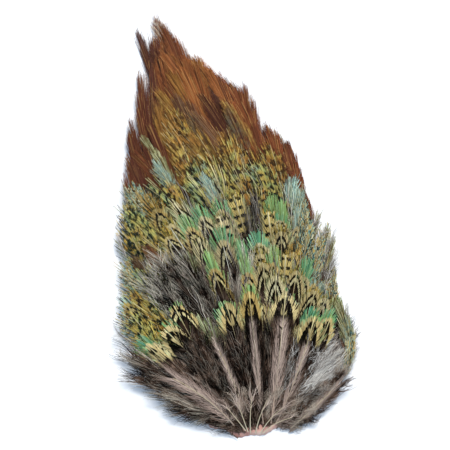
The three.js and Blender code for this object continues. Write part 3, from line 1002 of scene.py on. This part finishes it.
def plumage_group():
    """The colour of a barb from where it is on its feather and what kind of feather that is, with painted
    shade towards its root.
    """
    group = bpy.data.node_groups.new("plumage", "ShaderNodeTree")
    group.interface.new_socket("Color", in_out="OUTPUT", socket_type="NodeSocketColor")
    tree = Tree(group)
    at = SimpleNamespace(**{name: tree.attribute(name) for name in POINT_VALUES})
    chance = tree.math("FRACT", at.fibre * 7.31)
    tone = tree.math("FRACT", at.hue * 5.17)
    shift = (at.fibre - 0.5) * 0.7
    inside = (at.arch + shift) / at.bands
    past_fringe = at.below - at.fringe
    down_quill = past_fringe + shift
    streaks = side_barbs(tree, chance)

    tint = at.hue * 0.6 + chance * 0.4
    fringe = tree.mix(at.green, golden_fringe(tree, tint, at.fibre), green_fringe(tree, tint, at.fibre))
    pale = tree.mix(chance, (98, 146, 142), (208, 238, 222))
    fringe = tree.mix(at.pale, fringe, tree.turn(at.fibre, 0.2, 0.1, pale, DARK_GREEN))
    fringe = tree.mix(tree.step(past_fringe, 0, 4) * 0.8, fringe, streaks)
    chevrons = chevron_bands(tree, at, inside, down_quill)
    bands = tree.mix(at.ladder, chevrons, ladder_bands(tree, at, down_quill))
    colour = tree.turn(inside, -0.2, 0.1, fringe, bands)
    colour = tree.mix(at.mottle, colour, mottled_barbs(tree, at.fibre, at.hue))
    colour = tree.mix(at.streaky, colour, streaks)
    colour = tree.mix(at.speckle, colour, speckled_barbs(tree, chance))

    downy = downy_colour(tree, at)
    pattern_length = at.ladder * 4 + (at.mottle + at.speckle) * 16 + 8.5
    colour = tree.turn(past_fringe - pattern_length, 0, 4, colour, downy)
    rusty = tree.turn(at.below, 30, 38, rusty_colour(tree, at), downy)
    colour = tree.mix(at.rust, colour, rusty)
    colour = tree.mix(at.down, colour, downy)
    silver = tree.step(at.end, 0.35, 0.9) * at.silver * tree.step(at.fibre, 0.45, 0.6)
    colour = tree.mix(silver, colour, SILVER)
    # Random tone of each barb and of each feather, times painted shade that darkens every barb towards its
    # root, where the layers over it would shade it; real barbs are also somewhat darker at their bases.
    tone_and_painted_shade = (chance * 0.5 + 0.7) * (tone * 0.3 + 0.85) * (at.end * 0.6 + 0.55)
    tree.fill(group.nodes.new("NodeGroupOutput").inputs, {"Color": tree.mix(1, colour, tone_and_painted_shade, "MULTIPLY")})
    return group


def new_material(name):
    """A material with its tree and its shader's inputs."""
    material = bpy.data.materials.new(name)
    material.use_nodes = True
    shader = next(node for node in material.node_tree.nodes if node.type == "BSDF_PRINCIPLED")
    return material, Tree(material.node_tree), shader.inputs


def feather_material(name, group, roughness, specular):
    material, tree, inputs = new_material(name)
    colour = tree.new("Group", {}, "Color", node_tree=group)
    roughness = tree.attribute("fibre") * 0.15 + roughness
    tree.fill(inputs, {"Base Color": colour, "Roughness": roughness, "Specular IOR Level": specular})
    return material


def quill_material():
    """Horny and pale, and darker on rusty feathers. Where other feathers or its own down cover it, it is
    painted dark as shade.
    """
    material, tree, inputs = new_material("quill")
    names = ("below", "down", "tan", "shaft", "rust")
    below, down, tan, shaft, rust = (tree.attribute(name) for name in names)
    colour = tree.ramp(below / 50, {
        0: (190, 160, 92), 0.3: (196, 180, 138), 0.6: (160, 138, 118), 1: (192, 160, 140)})
    # Painted shade: the quill turns dark where its own down covers it, or other feathers do beyond 10 to 16
    # mm from its tip, except on feathers with tan vanes.
    covered_painted_shade = tree.math("MAXIMUM", down, tree.step(below, 10, 16))
    colour = tree.mix(covered_painted_shade * tree.step(tan, 1.3, 0.6), colour, (56, 44, 36))
    colour = tree.mix(shaft, colour, (226, 224, 208))
    colour = tree.mix(rust, colour, (104, 62, 32))
    colour = tree.mix(tree.noise(1800) * 0.35, colour, (140, 112, 86))
    tree.fill(inputs, {"Base Color": colour, "Roughness": 0.38})
    return material


def skin_material():
    material, tree, inputs = new_material("skin")
    tints = {0.3: (170, 112, 98), 0.5: (204, 158, 142), 0.7: (220, 194, 176)}
    colour = tree.ramp(tree.noise(160, 5), tints)
    bump = {"Strength": 0.5, "Distance": 0.0004, "Height": tree.noise(900, 5)}
    tree.fill(inputs, {"Base Color": colour, "Roughness": tree.noise(600) * 0.3 + 0.45,
                       "Normal": tree.new("Bump", bump)})
    return material


# The feathers that grow with each of the frame's feathers, by how many rows and places away from it they are.
COMPANIONS = [(0, 1 / 2), (1 / 3, 1 / 4), (1 / 3, 3 / 4), (2 / 3, 0), (2 / 3, 1 / 2)]
BARRED_COMPANIONS = [(1 / 4, 1 / 2), (1 / 2, 0), (3 / 4, 1 / 2)]
EDGE_COMPANIONS = [(1 / 6, 0), (1 / 2, 0), (5 / 6, 0)]
PLACES_PAST_EDGE = 0.3
SINKING_UNDER_NOTED = 0.8  # in rows, of a frame's own feather that would hide a noted one's marks
NOTED_PERK = 1.2
COMPANION_STRAY = 2.5
COMPANION_SWEEP_DEG = 12.0
FRONT_TUFTS = 3
FRONT_TUFT_DEPTH = -0.25
RIM_TUFTS = 4
TUFT = dict(DOWN, barbs=45, fluff=1.4, fraying=1)
TUFT_SWEEP_DEG = 15
LOOSE_HAIRS = 2  # sprays of them at each barred feather in the middle


def feather_lines(rng, row_index, place):
    """The centre lines of a node's feathers, with their depths and shares. The first is the frame's own."""
    row = ROWS[row_index]
    last_place = row.count - 1
    own_stray = TIP_WANDER * np.array([wander(row_index, place, 1), wander(row_index, place, 2)])
    own = line_at(row_index, place / last_place, own_stray)
    yield row_index + SINKING_UNDER_NOTED * hides_noted(row_index, own), place / last_place, own
    companions = BARRED_COMPANIONS if row.plumage == "barred" else COMPANIONS
    for rows_on, places_on in companions + (EDGE_COMPANIONS if place in (0, last_place) else []):
        depth = row_index + rows_on
        if place + places_on > last_place + PLACES_PAST_EDGE or depth > len(ROWS) - 1:
            continue
        share = min((place + places_on) / last_place, 1.0)
        line = line_at(depth, share, rng.normal(0, COMPANION_STRAY, 2))
        sweep_deg = rng.normal(row_sweep_deg(depth, share) + flow_deg(line.tip), COMPANION_SWEEP_DEG)
        line = CentreLine(line.root, inside_outline(line.tip), sweep_deg)
        if not hides_noted(depth, line):
            yield depth, share, line


def tuft_line(rng, root, lean_deg, length):
    tip = root + length * turned([0, 1], lean_deg)
    return CentreLine(root, inside_outline(tip), rng.normal(0, TUFT_SWEEP_DEG))


def add_front_tufts(mesh, rng, row_index, share):
    """Loose short down over the front of the patch."""
    for _ in range(FRONT_TUFTS):
        depth = row_index + rng.uniform(0, 1)
        root = follicle(depth, np.clip(share + rng.normal(0, 0.07), 0, 1))
        line = tuft_line(rng, root, 56 - 112 * share + rng.normal(0, 22), rng.uniform(12, 24))
        if not hides_noted(FRONT_TUFT_DEPTH, line, LONG_VANE):
            plume = Plume(**TUFT, half_width=2.6, down_reach=9, curl=0.9, quill=0.15,
                          hue=rng.uniform(0, 0.5) ** 1.5, pale=PALE_DOWN.holds(line.tip), silver=0.15)
            add_feather(mesh, rng, plume, line, FRONT_TUFT_DEPTH, perk=rng.uniform(0, 1))


def add_rim_tufts(mesh, rng, share):
    """Loose short down along the skin's front rim, and longer at its left end."""
    longest = 32 if share < 0.2 else 17
    for _ in range(RIM_TUFTS):
        root = on_fan(rng.uniform(27.5, 30), 9.5 * (1 - 2 * share) + rng.normal(0, 1.2))
        line = tuft_line(rng, root, 96 - 196 * share + rng.normal(0, 14), rng.uniform(9, longest))
        plume = Plume(**TUFT, half_width=3, down_reach=7, curl=1.1, quill=0.2, hue=rng.uniform(0, 0.7))
        add_feather(mesh, rng, plume, line, -0.1)


def add_loose_hairs(mesh, rng, row_index, share):
    """Sprays of fine pale hairs that lie over the patterned feathers."""
    for _ in range(LOOSE_HAIRS):
        depth = row_index + rng.uniform(-1, 0.5)
        line = line_at(depth, share + rng.normal(0, 0.04), rng.normal(0, 3, 2))
        plume = Plume(**DOWN, half_width=1.8, barbs=rng.integers(3, 8), bare=0.3, down_reach=16, fluff=0.3,
                      curl=0.8, barb_width=0.2, quill=0.05, hue=rng.uniform(0, 0.8), silver=rng.uniform(0, 1),
                      pale=0.4)
        add_feather(mesh, rng, plume, line, depth - 0.7)


def feather_piece(row_index, place, materials):
    row = ROWS[row_index]
    node = f"{row.name}_{place + 1}"
    rng = np.random.default_rng([SEED, row_index, place])
    mesh = PieceMesh()
    for depth, share, line in feather_lines(rng, row_index, place):
        plume = plume_at(rng, depth, share, line)
        add_feather(mesh, rng, plume, line, depth, roll=rng.normal(0, 0.05), perk=rng.uniform(-0.3, 0.6))
    for feather in NOTED:
        if (row_index, place) == (max(0, int(feather.depth)), round(feather.share * (row.count - 1))):
            add_feather(mesh, rng, feather.plume, feather.line, feather.depth, perk=NOTED_PERK)
    share = place / (row.count - 1)
    if row_index < 2:
        add_front_tufts(mesh, rng, row_index, share)
    if row_index == 0:
        add_rim_tufts(mesh, rng, share)
    if row.plumage == "barred" and 0.3 < share < 0.9:
        add_loose_hairs(mesh, rng, row_index, share)
    mesh.build(node + "_plumes", node, materials)


SKIN_TURNS = 300
SKIN_RINGS = 26
SKIN_RIM_TOP = 0.35
SKIN_RIM_BOTTOM = 0.3


def skin_piece(material):
    """The dried skin: flat below, finely wrinkled above, with a ragged cut edge."""
    turn = np.linspace(0, 2 * math.pi, SKIN_TURNS, endpoint=False)[:, None]
    ring = np.linspace(0, 1, SKIN_RINGS)[None, :]
    along = np.sign(np.cos(turn)) * np.abs(np.cos(turn)) ** (2 / SKIN_FULLNESS)
    ragged = 0.5 * (np.sin(9 * turn) + np.sin(16 * turn + 1)) + 0.25 * np.sin(47 * turn) * np.sin(31 * turn)
    radius = SKIN_WIDEST_RADIUS + (SKIN_HALF_LENGTH + ragged) * along * ring
    plan = on_fan(radius, (SKIN_HALF_WIDTH + ragged) * np.sin(turn) * ring)
    rim = np.broadcast_to(smooth(ring, 1.0, 0.97), radius.shape)
    relief = 0.12 * np.sin(plan[..., 0] * 1.3) * np.sin(plan[..., 1] * 1.1)
    upper = with_height(plan, SKIN_RIM_TOP + rim * (SKIN_THICKNESS - SKIN_RIM_TOP + relief))
    lower = with_height(plan, SKIN_RIM_BOTTOM * (1 - rim))
    shell = np.concatenate([lower, upper[:, ::-1]], axis=1)
    mesh = PieceMesh()
    mesh.add_grids(np.swapaxes(shell, 0, 1)[None], dict.fromkeys(POINT_VALUES, 0.0), slot=0, closed=True)
    mesh.build("skin_sheet", "skin", [material])


# The stage: a white floor under soft light from the upper right, seen from straight above.
VIEW_CENTRE = Vector((-13.2 * MM, 81.2 * MM, 0.0))
VIEW_WIDTH = 180 * MM
CAMERA_HEIGHT = 1.6
SENSOR_MM = 36
FLOOR_HALF = 3.0
FLOOR_WHITE = (0.9, 0.9, 0.9, 1)
SKY = (0.62, 0.78, 1.0, 1)
SUNLIGHT = (1.0, 0.95, 0.88)
SUN_DIRECTION = Vector((-0.14, -0.6, -1.0))


def floor():
    mesh = bpy.data.meshes.new("floor")
    corners = [(FLOOR_HALF * x, FLOOR_HALF * y, 0) for x, y in ((-1, -1), (1, -1), (1, 1), (-1, 1))]
    mesh.from_pydata(corners, [], [(0, 1, 2, 3)])
    material, _, inputs = new_material("floor")
    inputs["Base Color"].default_value = FLOOR_WHITE
    inputs["Roughness"].default_value = 0.8
    mesh.materials.append(material)
    placed("floor", mesh)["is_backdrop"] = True


def light_room():
    world = bpy.data.worlds.new("room")
    bpy.context.scene.world = world
    world.use_nodes = True
    background = next(node for node in world.node_tree.nodes if node.type == "BACKGROUND")
    background.inputs["Color"].default_value = SKY
    background.inputs["Strength"].default_value = 0.8
    light = bpy.data.lights.new("key", "SUN")
    light.energy = 3.1
    light.color = SUNLIGHT
    light.angle = math.radians(16)
    placed("key", light).rotation_euler = SUN_DIRECTION.to_track_quat("-Z", "Y").to_euler()


def camera():
    data = bpy.data.cameras.new("camera")
    data.sensor_width = SENSOR_MM
    data.lens = SENSOR_MM * CAMERA_HEIGHT / VIEW_WIDTH
    data.clip_end = 20
    obj = placed("camera", data)
    obj.matrix_world = Matrix.Translation(VIEW_CENTRE + Vector((0, 0, CAMERA_HEIGHT)))
    bpy.context.scene.camera = obj


# How rough and how shiny each kind of plumage is.
SHINE = {"downy": (0.7, 0), "barred": (0.55, 0.1), "golden": (0.55, 0.1), "rusty": (0.5, 0.15)}

camera()
light_room()
floor()
bpy.context.scene.view_settings.view_transform = "Standard"

group = plumage_group()
skin_piece(skin_material())
quill = quill_material()
finishes = {kind: feather_material(kind + "_feather", group, *shine) for kind, shine in SHINE.items()}
for row_index, row in enumerate(ROWS):
    for place in range(row.count):
        feather_piece(row_index, place, [finishes[row.plumage], quill])

boxes = {"cad": cad_box, "visual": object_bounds()}
{name: [list(corner) for corner in box] for name, box in boxes.items()}
